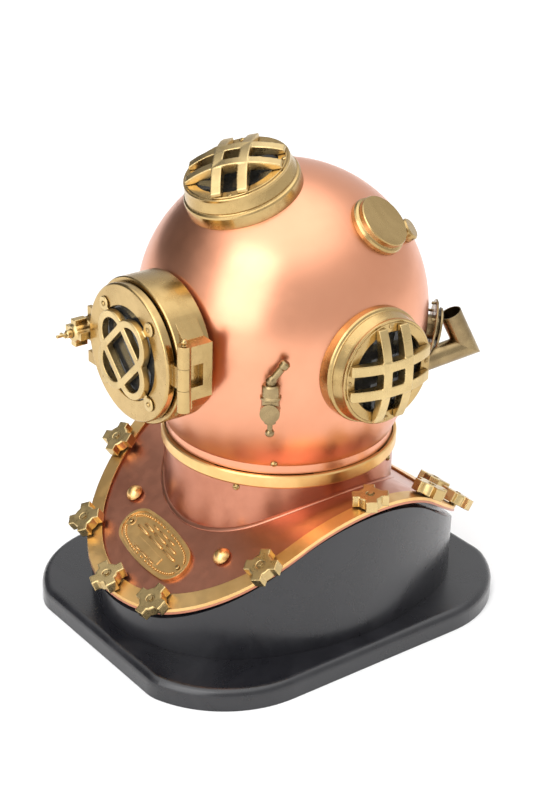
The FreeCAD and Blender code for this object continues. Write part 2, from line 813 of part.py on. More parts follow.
def solid_dome(label, inset):
    """Filled dome that fittings are bedded on."""
    waist, side = dome_outline(inset)
    return turned(label, [
        (0, "skirt_low"), ("skirt_out - (%s)" % inset, "skirt_low"), waist, side,
        (0, "dome_high + dome_radius - (%s)" % inset),
    ])


def spherical(reach, polar, turn):
    """Point a piece's Z axis out of the dome, polar degrees from the top, turned from the front."""
    lean = FreeCAD.Rotation(Z_AXIS, turn).multiply(FreeCAD.Rotation(X_AXIS, polar))
    out = lean.multVec(FreeCAD.Vector(0, 0, reach))
    return FreeCAD.Placement(FreeCAD.Vector(0, 0, size("dome_high")).add(out), lean)


def make_bonnet():
    """Copper shell, its lock ring and its screws."""
    waist, side = dome_outline(0)
    inner_waist, inner_side = dome_outline("dome_wall")
    shell = turned("bonnet_shell", [
        ("skirt_out - dome_wall", "skirt_low"), ("skirt_out", "skirt_low"), waist, side,
        (0, "dome_high + dome_radius"),
        (0, "dome_high + dome_radius - dome_wall", "-(dome_radius - dome_wall)"),
        ("dome_radius - dome_wall", "dome_high", "-(waist_round - dome_wall)"),
        ("skirt_out - dome_wall", "skirt_top"),
    ])
    openings = [framed(rod(side + "_opening", "port_hole", 100, 200), frame)
                for side, frame in PORT_FRAMES.items()]
    openings.append(framed(rod("front_opening", "seat_hole", 90, 200), FRONT_FRAME))
    fall = "(dome_high - bonnet_screw_high)"
    flare = size("asin(%s / waist_round)" % fall)
    screw_radius = size("dome_radius - waist_round + sqrt(waist_round^2 - %s^2)" % fall)
    screw_places = [outward(BONNET_SCREW_TURN + a, SIZES["bonnet_screw_high"], screw_radius, flare)
                    for a in CROSS_ANGLES]
    screw_holes = copies("bonnet_screw_holes", small_hole, screw_places)
    elbow_hole = framed(rod("elbow_hole", "elbow_bore", -20, 20), ELBOW_BASE)
    node(cut("bonnet", shell, *openings, screw_holes, elbow_hole), "bonnet")
    node(copies("bonnet_screws", round_screw, screw_places), "bonnet_screws")
    ring = turned("lock_ring_blank", [
        ("lock_in", "lock_low"), ("lock_out", "lock_low"), ("lock_out", "skirt_low + 0.2"),
        ("skirt_out - dome_wall - 0.1", "skirt_low + 0.2"), ("skirt_out - dome_wall - 0.1", "lock_top"),
        ("lock_in", "lock_top"),
    ])
    add_lugs(ring, box_outline("lock_out - 1.5", "lock_lug", "lock_low", "lock_lug_top"), "lug_arc", 4)
    node(cut("bonnet_lock_ring", ring, screw_holes), "bonnet_lock_ring")


def bedded(label, blank, frame, spigot):
    """Shape a fitting to the dome outside its spigot."""
    keep = framed(rod(label + "_keep", spigot, CUT_LOW, CUT_HIGH), frame)
    tool = cut(label + "_bed", solid_dome(label + "_form", "-bed_gap"), keep)
    return cut(label, framed(blank, frame), tool)


def make_port(side, frame, guard_turn):
    """One fixed port: seat, gasket, glass, face ring, screws and guard."""
    screws = round_axis(SIZES["port_screw"], size("face_high"), [guard_turn + a for a in CROSS_ANGLES])
    holes = copies(side + "_port_holes", small_hole, moved(frame, screws))
    seat = turned(side + "_seat_blank", [
        ("port_bore", "port_deep"), ("port_flange", "port_deep"), ("port_flange", "port_step - 1"),
        ("port_flange - 0.7", "port_step + 0.8"), ("port_rim + 2.6", "port_step + 1.6"),
        ("port_rim + 2", "port_step + 2.4"), ("port_rim + 2.6", "port_bell"),
        ("port_rim + 0.4", "port_top - 5"), ("port_rim", "port_top - 3"), ("port_rim", "port_top - 0.8"),
        ("port_rim - 0.8", "port_top"), ("face_radius + 0.1", "port_top"), ("face_radius + 0.1", "face_low"),
        ("glass_radius + 0.2", "face_low"), ("glass_radius + 0.2", "glass_seat"),
        ("port_bore", "glass_seat"),
    ])
    node(cut(side + "_port_seat", bedded(side + "_seat_bedded", seat, frame, "port_spigot"), holes),
         side + "_port_seat")
    gasket = turned(side + "_gasket",
                    box_outline("port_bore + 1", "glass_radius", "glass_seat", "glass_low"))
    node(framed(gasket, frame), side + "_port_gasket")
    glass = rod(side + "_glass", "glass_radius", "glass_low", "glass_low + glass_thick")
    node(framed(glass, frame), side + "_port_glass")
    ring = turned(side + "_face_blank", [
        ("face_bore", "face_low"), ("face_radius", "face_low"), ("face_radius", "face_high - 0.6"),
        ("face_radius - 0.6", "face_high"), ("face_bore + 0.6", "face_high"),
        ("face_bore", "face_high - 0.6"),
    ])
    node(cut(side + "_face_ring", framed(ring, frame), holes), side + "_face_ring")
    node(copies(side + "_port_screws", small_screw, moved(frame, screws)), side + "_port_screws")
    chord, foot, low = "bar_half", "bar_foot", "face_high + bed_gap"
    top, bow, under = "face_high + bar_end", "bar_bow", "bar_under"
    bars = []
    for number in range(4):
        bar = plate("%s_bar_%d" % (side, number), [
            ("-" + chord, low), ("-" + foot, low, "-" + cap_radius(foot, under)),
            (foot, low), (chord, low), (chord, top, cap_radius(chord, bow)),
            ("-" + chord, top),
        ], "bar_wide", "XZ_Plane", True)
        side_step = "bar_space" if number % 2 else "-bar_space"
        bars.append(framed(place(bar, y=side_step), spun(guard_turn + 90 * (number // 2))))
    node(framed(fuse(side + "_port_guard", *bars), frame), side + "_port_guard")


# Front port ------------------------------------------------------------------

LATCH_FRAME = FreeCAD.Placement(FreeCAD.Vector(size("latch_x"), 0, size("latch_height")),
                                FreeCAD.Rotation(X_AXIS, 90))
# The hinge block seen from the front: a facet above, an upright side and a slope back into the ring below.
HINGE_BLOCK = [
    (44, 270), (54, 264), (69, 277.5), ("block_out", 290), ("block_out", "block_top"), (66, "block_top + 1"),
    (50.5, 361), (44, 352),
]


def knuckle(label, low, high):
    """One barrel of the door hinge between two heights, with its pin bore."""
    blank = rod(label + "_barrel", "knuckle", low, high)
    return place(blank, "hinge_x", "-hinge_reach", low)


def pin_bore(label, radius, x, y):
    """Upright through bore for a pin, with a running clearance."""
    return place(rod(label, radius + " + bed_gap", 200, 400), x, y, 200)


def make_door_seat():
    """Fixed front ring with its hinge block and latch lug, and the rubber seal."""
    ring = turned("seat_blank", [
        ("seat_bore", "seat_deep"), ("seat_neck", "seat_deep"), ("seat_neck", "seat_back"),
        ("seat_body - 1", "seat_back"), ("seat_body", "seat_back + 1"), ("seat_body", "seat_face - 1"),
        ("seat_body - 1", "seat_face"), ("seat_bore + 9", "seat_face"), ("seat_bore + 9", "seat_face - 3"),
        ("seat_bore + 3", "seat_face - 3"), ("seat_bore + 3", "seat_face"), ("seat_bore", "seat_face"),
    ])
    nut_room = framed(rod("nut_room", "washer_radius + 0.8", "washer_low - 4", 200), LATCH_FRAME)
    body = cut("seat_cleared", bedded("seat_bedded", ring, FRONT_FRAME, "seat_spigot"), nut_room)
    leaf = plate("hinge_leaf", HINGE_BLOCK, "block_front - seat_back - 7", "XZ_Plane", True)
    place(leaf, 0, "-(block_front + seat_back + 7) / 2", 0)
    barrels = [knuckle("upper_knuckle", "middle_top + leaf_gap", "hinge_top"),
               knuckle("lower_knuckle", "hinge_low", "middle_low - leaf_gap")]
    webs = []
    for name, low, high in (("upper", "middle_top + leaf_gap", "block_top"),
                            ("lower", "block_low", "middle_low - leaf_gap")):
        webs.append(block(name + "_web", ("hinge_x - 5", "block_out"), ("-hinge_reach", "-block_front + 1"),
                          (low, high)))
    inside = framed(rod("seat_inside", "seat_body - 2", 60, 200), FRONT_FRAME)
    sphere = solid_dome("leaf_form", "-bed_gap")
    recess = block("hinge_recess", ("recess_in", "block_out + 5"), (-200, "-recess_back"),
                   ("middle_low - leaf_gap", "middle_top + leaf_gap"))
    trimmed = cut("leaf_trimmed", leaf, inside, sphere)
    hinge = cut("hinge_block", fuse("hinge_whole", trimmed, *barrels, *webs),
                recess, pin_bore("hinge_bore", "hinge_pin", "hinge_x", "-hinge_reach"))
    lug = block("latch_lug", ("latch_x - 6", "-seat_body + 3"), ("-latch_pivot - 7", "-latch_pivot + 7"),
                ("latch_height - 12", "latch_height + 12"))
    slot = block("latch_slot", ("latch_x - 20", "-seat_body - 0.4"), (-200, -60),
                 ("latch_height - latch_eye_high / 2 - 0.5", "latch_height + latch_eye_high / 2 + 0.5"))
    bore = pin_bore("latch_bore", "latch_pin", "latch_x", "-latch_pivot")
    node(fuse("door_seat", body, hinge, cut("latch_fork", lug, slot, bore)), "door_seat")
    seal = turned("door_seal", box_outline("seat_bore + 3.1", "seat_bore + 8.9",
                                           "seat_face - 3", "seat_face + 0.9"))
    node(framed(seal, FRONT_FRAME), "door_seal")
    pin = turned("hinge_pin_blank", [
        (0, "hinge_low - 1"), ("hinge_pin", "hinge_low - 1"), ("hinge_pin", "hinge_top"),
        ("hinge_pin * 0.6", "hinge_top + 0.8", "hinge_pin"), (0, "hinge_top + 0.8 + hinge_pin * 1.8"),
    ])
    node(place(pin, "hinge_x", "-hinge_reach", 0), "hinge_pin")
    pivot = turned("latch_pivot_blank", [
        (0, "latch_height - 13"), ("latch_pin", "latch_height - 13"), ("latch_pin", "latch_height + 12.1"),
        ("latch_pin + 1.5", "latch_height + 12.1"), ("latch_pin + 1.5", "latch_height + 14"),
        (0, "latch_height + 15"),
    ])
    node(place(pivot, "latch_x", "-latch_pivot", 0), "latch_pivot_pin")


def make_door():
    """Hinged ring with its glass, retainer, guard and guard screws."""
    foot_angles = [45 + angle for angle in CROSS_ANGLES]
    guard_places = round_axis(SIZES["loop_foot"], size("door_face + loop_stand"), foot_angles)
    holes = copies("guard_holes", rod("guard_hole", "small_shank + bed_gap", -9, 20), guard_places)
    ring = turned("door_blank", [
        ("door_bore", "door_glass_low + door_glass_thick"),
        ("door_glass + 0.1", "door_glass_low + door_glass_thick"),
        ("door_glass + 0.1", "door_low"), ("door_radius - 1", "door_low"), ("door_radius", "door_low + 1"),
        ("door_radius", "door_face - door_round", "door_round"), ("door_radius - door_round", "door_face"),
        ("door_bore + 0.8", "door_face"), ("door_bore", "door_face - 0.8"),
    ])
    drilled = framed(cut("door_drilled", ring, holes), FRONT_FRAME)
    leaf = block("door_leaf", ("sqrt(door_radius^2 - 15^2) - 4", "hinge_x"),
                 ("-hinge_reach - 5", "-door_low"),
                 ("middle_low", "middle_top"))
    barrel = knuckle("middle_knuckle", "middle_low", "middle_top")
    bore = pin_bore("middle_bore", "hinge_pin", "hinge_x", "-hinge_reach")
    opening = framed(rod("door_inner", "door_glass + 4", 160, 200), FRONT_FRAME)
    ears = []
    for name in ("upper", "lower"):
        ear = block(name + "_ear", ("-ear_out", -45), ("-ear_low - ear_thick", "-ear_low"),
                    (name + "_ear_low", name + "_ear_top"))
        ears.append(cut(name + "_ear_trimmed", ear, opening))
    hinge = cut("door_hinge", fuse("door_hinge_whole", leaf, barrel), bore)
    node(fuse("door_ring", drilled, hinge, *ears), "door_ring")
    glass = rod("door_glass_disc", "door_glass", "door_glass_low", "door_glass_low + door_glass_thick")
    node(framed(glass, FRONT_FRAME), "door_glass")
    retainer = turned("retainer", box_outline("door_bore", "door_glass - 0.1", "door_low", "door_glass_low"))
    node(framed(retainer, FRONT_FRAME), "door_glass_retainer")
    loops = []
    for number, turn in enumerate((45, -45)):
        outer = loop_blank("loop_outer_%d" % number, "loop_half + loop_wide / 2", "loop_reach + loop_wide")
        inner = loop_blank("loop_inner_%d" % number, "loop_half - loop_wide / 2", "loop_reach")
        loops.append(place(cut("loop_%d" % number, outer, inner), angle=turn))
    feet = []
    for number, angle in enumerate(foot_angles):
        low, high = "door_face + bed_gap", "door_face + loop_stand"
        pad = place(rod("loop_pad_%d" % number, "loop_pad", low, high), "loop_foot", 0, low)
        strip = block("loop_strip_%d" % number, ("loop_reach + loop_wide - 6", "loop_foot"),
                      ("-loop_wide / 2", "loop_wide / 2"), (low, high))
        doc.recompute()
        feet.extend((framed(pad, spun(angle)), framed(strip, spun(angle))))
    guard = cut("door_guard_drilled", fuse("door_guard_whole", *loops, *feet), holes)
    node(framed(guard, FRONT_FRAME), "door_guard")
    node(copies("door_guard_screws", small_screw, moved(FRONT_FRAME, guard_places)), "door_guard_screws")


def loop_blank(label, half_wide, reach):
    """Filled stadium shape on the door's face, long axis along X."""
    half = "(%s)" % half_wide
    straight = "(%s - %s)" % (reach, half)
    outline = [("-" + straight, "-" + half), (straight, "-" + half, "(%s) * 1.0001" % half),
               (straight, half), ("-" + straight, half, "(%s) * 1.0001" % half)]
    return place(plate(label, outline, "loop_thick"), z="door_face + bed_gap")


# Latch -----------------------------------------------------------------------

def make_latch():
    """Swing bolt, washer and wing nut, made about the bolt's own axis and then laid forwards."""
    eye = place(rod("latch_eye_blank", "latch_eye", "-latch_eye_high / 2", "latch_eye_high / 2"),
                "latch_x", "-latch_pivot", "latch_height - latch_eye_high / 2")
    bore = pin_bore("latch_eye_bore", "latch_pin", "latch_x", "-latch_pivot")
    shank = framed(turned("latch_shank", [
        (0, "latch_pivot + 4"), ("latch_shank", "latch_pivot + 4"), ("latch_shank", "latch_end - 1"),
        ("latch_shank - 1", "latch_end"), ("latch_tip_radius", "latch_end"),
        ("latch_tip_radius", "latch_tip - 1"), (0, "latch_tip"),
    ]), LATCH_FRAME)
    cotter = block("latch_cotter", ("latch_x - 5", "latch_x + 5"), ("-latch_end - 4", "-latch_end - 1.8"),
                   ("latch_height - 1.2", "latch_height + 1.2"))
    node(cut("latch_bolt", fuse("latch_bolt_whole", eye, shank, cotter), bore), "latch_bolt")
    washer = turned("washer_blank", box_outline("latch_shank + bed_gap", "washer_radius", "washer_low",
                                                "washer_low + washer_thick"))
    node(framed(washer, LATCH_FRAME), "latch_washer")
    low = "washer_low + washer_thick + bed_gap"
    hub = turned("wing_nut_hub_blank", [
        ("latch_shank + bed_gap", low), ("washer_radius", low), ("washer_radius", low + " + 5.5"),
        ("wing_nut_hub + 1", low + " + 7"), ("wing_nut_hub", low + " + 8"),
        ("wing_nut_hub", low + " + wing_nut_high - 2"), ("wing_nut_hub - 2", low + " + wing_nut_high"),
        ("latch_shank + bed_gap", low + " + wing_nut_high"),
    ])
    bar_heights = (low + " + 10", low + " + wing_nut_high - 2")
    span, half = ("-wing_span", "wing_span"), ("-wing_half", "wing_half")
    bars = fuse("wing_bars", block("wing_bar", span, half, bar_heights),
                block("cross_wing_bar", half, span, bar_heights))
    wings = cut("wings", bars, rod("wing_bore", "wing_nut_hub - 1", 100, 300))
    node(framed(fuse("latch_nut", hub, wings), LATCH_FRAME), "latch_nut")


# Spitcock --------------------------------------------------------------------

def make_spitcock():
    """Small drain cock with a turning lever."""
    turn = spun(size("cock_turn"))
    barrel = place(turned("cock_barrel_blank", [
        (0, "cock_low"), ("cock_barrel - 1.5", "cock_low"), ("cock_barrel", "cock_low + 1.5"),
        ("cock_barrel", "cock_low + 17"), ("cock_disc + 0.6", "cock_low + 18"),
        ("cock_disc + 0.6", "cock_low + 20"), ("cock_barrel", "cock_low + 21"),
        ("cock_barrel", "cock_top - 1.5"), ("cock_barrel - 1.5", "cock_top"), (0, "cock_top"),
    ]), y="-cock_out")
    stem = framed(rod("cock_stem", "cock_boss", "fitting_root", "cock_out"), facing("cock_low + 11"))
    spout = place(turned("cock_spout", [
        (0, "spout_end"), ("spout_radius", "spout_end", 4.2), ("spout_radius", "spout_bead"),
        ("spout_radius", "spout_shoulder"), ("spout_root", "spout_shoulder + 1"),
        ("spout_root", "cock_low + 3"), (0, "cock_low + 3"),
    ]), y="-cock_out")
    disc = framed(rod("cock_disc_blank", "cock_disc", "cock_out - 4", "cock_out + 9.5"),
                  facing("cock_low + 6"))
    whole = framed(fuse("cock_whole", barrel, stem, spout, disc), turn)
    socket = place(rod("cock_socket", "lever_radius + bed_gap", "cock_top - 10", 400),
                   0, "-cock_out", "cock_top - 10")
    socket_hole = framed(socket, turn)
    node(cut("spitcock_body", whole, solid_dome("cock_form", "-bed_gap"), socket_hole), "spitcock_body")
    plug = place(rod("lever_plug", "lever_radius", "cock_top - 9.9", "cock_top + 4"),
                 0, "-cock_out", "cock_top - 9.9")
    arm = turned("lever_arm", [
        (0, -2), ("lever_radius", -2), ("lever_radius", 2), ("lever_radius - 1", 5),
        ("lever_radius - 1", "lever_long - 8"), ("lever_radius", "lever_long - 6"),
        ("lever_radius", "lever_long - 1.5"), ("lever_radius - 1.5", "lever_long"), (0, "lever_long"),
    ])
    place(arm, 0, "-cock_out", "cock_top + 3", Y_AXIS, "lever_tilt")
    node(framed(fuse("spitcock_lever", plug, arm), turn), "spitcock_lever")


# Rear fittings ---------------------------------------------------------------

ELBOW_LEAN = FreeCAD.Rotation(X_AXIS, 90 - size("elbow_rise"))
ELBOW_BASE = FreeCAD.Placement(
    spun(size("elbow_turn")).multVec(FreeCAD.Vector(0, -size("elbow_reach"), size("elbow_high"))),
    FreeCAD.Rotation(Z_AXIS, size("elbow_heading")).multiply(ELBOW_LEAN))


def make_rear():
    """Blanked port cap, outlet valve cover and the air elbow."""
    cap_place = spherical(0, size("cap_polar"), size("cap_turn"))
    cap = turned("cap_blank", [
        (0, "fitting_root"), ("cap_base", "fitting_root"), ("cap_base", "cap_reach - 9"),
        ("cap_base - 1", "cap_reach - 7"),
        ("cap_face + 0.6", "cap_reach - 6"), ("cap_face + 0.6", "cap_reach - 1"), ("cap_face", "cap_reach"),
        (0, "cap_reach"),
    ])
    form = solid_dome("rear_form", "-bed_gap")
    node(cut("rear_cap", framed(cap, cap_place), form), "rear_cap")
    stub_place = spherical(0, size("cap_polar + 9"), size("cap_turn + 20"))
    stub = turned("stub_blank", [
        (0, "fitting_root"), ("stub_radius", "fitting_root"), ("stub_radius", "stub_reach - 1.5"),
        ("stub_radius - 1.5", "stub_reach"), (0, "stub_reach"),
    ])
    clear = framed(rod("stub_clear", "cap_base + 0.3", CUT_LOW, CUT_HIGH), cap_place)
    node(cut("rear_boss", framed(stub, stub_place), form, clear), "rear_boss")

    valve_place = spherical(0, size("90 + valve_dip"), size("valve_turn"))
    base_top = "valve_base_low + valve_plate"
    cap_top = "valve_cap_low + valve_plate"
    screws = round_axis(SIZES["valve_screw"], size(base_top), [20 + a for a in range(0, 360, 60)])
    holes = copies("valve_holes", small_hole, moved(valve_place, screws))
    cover = turned("valve_blank", [
        (0, "fitting_root"), ("valve_stem", "fitting_root"), ("valve_stem", "valve_base_low"),
        ("valve_base - 0.6", "valve_base_low"),
        ("valve_base", "valve_base_low + 0.6"), ("valve_base", base_top + " - 0.6"),
        ("valve_base - 0.6", base_top), ("valve_stem", base_top), ("valve_stem", "valve_cap_low"),
        ("valve_cap", "valve_cap_low"), ("valve_cap", cap_top + " - 0.6"), ("valve_cap - 0.6", cap_top),
        (0, cap_top),
    ])
    node(cut("outlet_valve_cover", framed(cover, valve_place), form, holes), "outlet_valve_cover")
    node(copies("outlet_valve_screws", small_screw, moved(valve_place, screws)), "outlet_valve_screws")

    heading = ELBOW_BASE.Rotation.multVec(Z_AXIS)
    start = ELBOW_BASE.Base
    mitre = start + heading * SIZES["elbow_out"]
    rise = FreeCAD.Vector(*ELBOW_RISE).normalize()
    mouth = mitre + rise * SIZES["elbow_up"]
    pipe = {}
    for name, radius, extra in (("out", SIZES["elbow_pipe"], 0), ("in", SIZES["elbow_bore"], 5)):
        back = start - heading * 30
        path = Part.makePolygon([back, mitre, mouth + rise * extra])
        rim = Part.Wire(Part.makeCircle(radius, back, heading))
        pipe[name] = doc.addObject("Part::Feature", "elbow_" + name)
        pipe[name].Shape = Part.Wire(path.Edges).makePipeShell([rim], True, False, 1)
    foot = "elbow_foot"
    flange = framed(turned("elbow_flange", [
        (0, -20), (foot, -20), (foot, "elbow_foot_high - 1"), (foot + " - 1", "elbow_foot_high"),
        (0, "elbow_foot_high"),
    ]), ELBOW_BASE)
    whole = fuse("elbow_whole", pipe["out"], flange)
    valve_room = framed(rod("valve_room", "valve_base + 0.3", CUT_LOW, base_top + " + 0.3"), valve_place)
    node(cut("air_elbow", whole, pipe["in"], form, valve_room), "air_elbow")


make_stand()
make_breastplate()
make_bonnet()
for port_side, port_frame in PORT_FRAMES.items():
    make_port(port_side, port_frame, 45 if port_side == "top" else 0)
make_door_seat()
make_door()
make_latch()
make_spitcock()
make_rear()
doc.recompute()

# Every object must have recomputed, and every piece must be a valid solid.
faults = []
for thing in doc.Objects:
    if "Invalid" in thing.State or "Error" in thing.State:
        faults.append(thing.Name + " did not recompute")
for piece in nodes:
    if piece.Shape.isNull() or not piece.Shape.isValid() or not piece.Shape.Solids:
        faults.append(piece.Label + " has no valid solid")
if faults:
    raise RuntimeError("; ".join(faults))

os.makedirs("parts", exist_ok=True)
for piece in nodes:
    piece.Shape.exportStep(os.path.join("parts", piece.Label + ".step"))
    box = piece.Shape.BoundBox
    print("%-22s solids %2d  volume %10.1f  x %.1f %.1f  y %.1f %.1f  z %.1f %.1f" % (
        piece.Label, len(piece.Shape.Solids), piece.Shape.Volume, box.XMin, box.XMax,
        box.YMin, box.YMax, box.ZMin, box.ZMax))
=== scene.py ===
import json
import math

import bmesh
import bpy
from mathutils import Matrix, Vector
from mathutils.bvhtree import BVHTree


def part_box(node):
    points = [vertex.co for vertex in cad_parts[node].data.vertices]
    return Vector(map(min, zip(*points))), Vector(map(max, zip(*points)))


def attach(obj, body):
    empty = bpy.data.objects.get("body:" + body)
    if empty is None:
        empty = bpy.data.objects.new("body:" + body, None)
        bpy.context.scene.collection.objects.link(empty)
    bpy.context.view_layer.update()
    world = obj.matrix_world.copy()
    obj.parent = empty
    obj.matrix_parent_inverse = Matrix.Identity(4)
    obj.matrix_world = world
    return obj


# Deep-sea diving helmet on a black display stand. Metres; +Z up, the front of the helmet faces -Y.

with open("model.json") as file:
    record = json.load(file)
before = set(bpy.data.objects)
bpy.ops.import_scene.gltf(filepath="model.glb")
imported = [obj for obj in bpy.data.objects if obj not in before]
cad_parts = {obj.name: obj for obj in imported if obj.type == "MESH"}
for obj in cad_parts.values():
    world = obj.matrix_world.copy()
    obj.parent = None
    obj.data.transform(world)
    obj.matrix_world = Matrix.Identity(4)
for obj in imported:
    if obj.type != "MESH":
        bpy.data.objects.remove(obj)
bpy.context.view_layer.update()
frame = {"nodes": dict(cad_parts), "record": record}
bpy.context.view_layer.update()

MM = 0.001
NODES = frame["nodes"]


# Material graphs --------------------------------------------------------------

# Agreement of the rounded normal with the true one, on a flat face and on a sharp edge.
FLAT_MATCH, EDGE_MATCH = 0.995, 0.85
CREVICE_SAMPLES, EDGE_SAMPLES = 6, 4


class Graph:
    """Shorthand for building one material out of shader nodes."""

    def __init__(self, name):
        self.material = bpy.data.materials.new(name)
        self.material.use_nodes = True
        self.tree = self.material.node_tree
        self.shader = self.tree.nodes["Principled BSDF"]
        self.place = self.add("TexCoord", out="Object")

    def add(self, kind, inputs=None, out=0, **settings):
        """Make a node, set its options, feed its inputs and return one of its outputs."""
        made = self.tree.nodes.new("ShaderNode" + kind)
        for key, value in settings.items():
            setattr(made, key, value)
        for key, value in (inputs or {}).items():
            self.feed(made.inputs[key], value)
        return made.outputs[out]

    def feed(self, socket, value):
        """Link a socket or set its value."""
        if isinstance(value, bpy.types.NodeSocket):
            self.tree.links.new(value, socket)
        else:
            socket.default_value = value

    def set(self, **values):
        """Feed the surface shader's sockets."""
        for key, value in values.items():
            self.feed(self.shader.inputs[key.replace("_", " ")], value)

    def noise(self, scale, detail=3.0, rough=0.55, place=None, warp=0.0):
        """Cloudy noise between 0 and 1."""
        return self.add("TexNoise", {"Vector": place or self.place, "Scale": scale,
                                     "Detail": detail, "Roughness": rough, "Distortion": warp})

    def stretched(self, x, y, z):
        """Object coordinates scaled along each axis."""
        return self.add("Mapping", {"Vector": self.place, "Scale": (x, y, z)})

    def span(self, value, low, high, to_low=0.0, to_high=1.0):
        """Map a range smoothly onto another."""
        return self.add("MapRange", {"Value": value, "From Min": low, "From Max": high,
                                     "To Min": to_low, "To Max": to_high},
                        interpolation_type="SMOOTHSTEP")

    def math(self, kind, a, b=0.0):
        """Arithmetic kept between 0 and 1, apart from a difference, which may fall below 0."""
        return self.add("Math", {0: a, 1: b}, operation=kind, use_clamp=kind != "SUBTRACT")

    def times(self, a, b):
        """Product kept between 0 and 1."""
        return self.math("MULTIPLY", a, b)

    def mix(self, factor, a, b):
        """Blend two colours."""
        return self.add("Mix", {0: factor, 6: a, 7: b}, out=2, data_type="RGBA")

    def bump(self, strength, depth, height, normal=None):
        """Surface normal disturbed by a height pattern."""
        inputs = {"Strength": strength, "Distance": depth, "Height": height}
        if normal is not None:
            inputs["Normal"] = normal
        return self.add("Bump", inputs)

    def crevice(self, reach):
        """Ambient occlusion turned round, used for painted shade: 1 deep in a corner, 0 in the
        open.
        """
        open_sky = self.add("AmbientOcclusion", {"Distance": reach}, out="AO",
                            samples=CREVICE_SAMPLES)
        return self.math("SUBTRACT", 1.0, open_sky)

    def edges(self, radius):
        """Rounded normal, and a mask that is 1 along sharp edges."""
        soft = self.add("Bevel", {"Radius": radius}, samples=EDGE_SAMPLES)
        flat = self.add("NewGeometry", out="Normal")
        match = self.add("VectorMath", {0: soft, 1: flat}, out="Value", operation="DOT_PRODUCT")
        return soft, self.span(match, FLAT_MATCH, EDGE_MATCH)


def rgb(red, green, blue):
    """Opaque colour."""
    return (red, green, blue, 1.0)


# Noise scales of the metals' patterns, coarse to fine.
MOTTLE_SCALE, SHADE_PATCH_SCALE, GRAIN_SCALE, SPECK_SCALE = 70.0, 160.0, 420.0, 1500.0
LATHE_STRETCH = (6.0, 6.0, 900.0)
EDGE_RADIUS = 0.5 * MM
GRAIN_DEPTH, LATHE_DEPTH = 0.00012, 0.00004


def metal(name, light, deep, stain_and_shade, rough, painted_shade_amount=0.8, spun=0.0, pits=0.25, edge=0.35,
          cavity_reach=7.0, cloud_scale=9.0, blotch=0.28):
    """Polished or cast metal: clouds, mottling, dark specks, painted shade in corners and hollows,
    rubbed edges.
    """
    graph = Graph(name)
    cloud = graph.span(graph.noise(cloud_scale, 4.0, 0.6, warp=0.6), 0.32, 0.68)
    mottle = graph.span(graph.noise(MOTTLE_SCALE, 5.0, 0.62), 0.35, 0.7)
    grain = graph.noise(GRAIN_SCALE, 4.0, 0.6)
    specks = graph.span(graph.noise(SPECK_SCALE, 2.0, 0.5), 0.62, 0.78)
    lines = graph.noise(1.0, 3.0, 0.6, graph.stretched(*LATHE_STRETCH))
    soft, worn = graph.edges(EDGE_RADIUS)

    # Painted shade: darker and rougher in corners and hollows, from ambient occlusion broken into
    # random patches.
    hollow = graph.span(graph.crevice(cavity_reach * MM), 0.22, 0.85)
    patches = graph.span(graph.noise(SHADE_PATCH_SCALE, 4.0, 0.6), 0.2, 0.62, 0.45, 1.0)
    painted_shade = graph.times(graph.times(hollow, patches), painted_shade_amount)
    tone = graph.mix(graph.times(cloud, 0.75), light, deep)
    tone = graph.mix(graph.times(mottle, blotch), tone, deep)
    # The darkest colour takes both the real dark specks and the painted shade in hollows.
    tone = graph.mix(graph.math("MAXIMUM", painted_shade, graph.times(specks, pits)), tone, stain_and_shade)
    rubbed = rgb(*(min(1.0, channel * 1.12 + 0.02) for channel in light[:3]))
    tone = graph.mix(graph.times(worn, edge), tone, rubbed)

    gloss = graph.span(mottle, 0.0, 1.0, rough - 0.15 * blotch, rough + 0.25 * blotch)
    gloss = graph.math("ADD", gloss, graph.times(painted_shade, 0.3))
    gloss = graph.math("ADD", gloss, graph.times(graph.math("SUBTRACT", lines, 0.5), spun))

    normal = graph.bump(0.10 + 0.35 * pits, GRAIN_DEPTH, graph.times(grain, 0.6), soft)
    if spun:
        normal = graph.bump(spun, LATHE_DEPTH, lines, normal)
    graph.set(Base_Color=tone, Metallic=1.0, Roughness=gloss, Normal=normal)
    return graph.material


def lacquer():
    """Black gloss paint over wood: orange peel, a trace of grain, dust and rubbed edges."""
    graph = Graph("black_lacquer")
    grain = graph.noise(1.0, 5.0, 0.6, graph.stretched(260.0, 14.0, 60.0), warp=0.4)
    peel = graph.noise(260.0, 2.0, 0.5)
    dust = graph.span(graph.noise(900.0, 3.0, 0.6), 0.62, 0.8)
    smear = graph.span(graph.noise(14.0, 5.0, 0.65, warp=0.8), 0.4, 0.75)
    soft, worn = graph.edges(1.2 * MM)
    tone = graph.mix(graph.times(smear, 0.6), rgb(0.006, 0.006, 0.0085), rgb(0.018, 0.018, 0.022))
    tone = graph.mix(graph.times(dust, 0.22), tone, rgb(0.16, 0.16, 0.165))
    tone = graph.mix(graph.times(worn, 0.12), tone, rgb(0.10, 0.095, 0.09))
    gloss = graph.math("ADD", graph.span(smear, 0.0, 1.0, 0.27, 0.42), graph.times(dust, 0.2))
    normal = graph.bump(0.12, 0.0003, peel, soft)
    normal = graph.bump(0.10, 0.0002, grain, normal)
    graph.set(Base_Color=tone, Roughness=gloss, Normal=normal, Coat_Weight=0.4,
              Coat_Roughness=0.22)
    return graph.material


def smoked_glass():
    """Thick flat glass, tinted grey, with faint smears."""
    graph = Graph("smoked_glass")
    smear = graph.span(graph.noise(38.0, 4.0, 0.6, warp=0.7), 0.45, 0.75, 0.03, 0.14)
    ripple = graph.bump(0.05, 0.0004, graph.noise(24.0, 1.0))
    tint = graph.mix(graph.noise(6.0, 2.0), rgb(0.10, 0.10, 0.095), rgb(0.16, 0.155, 0.145))
    graph.set(Base_Color=tint, Roughness=smear, Normal=ripple, Transmission_Weight=0.8, IOR=1.5)
    return graph.material


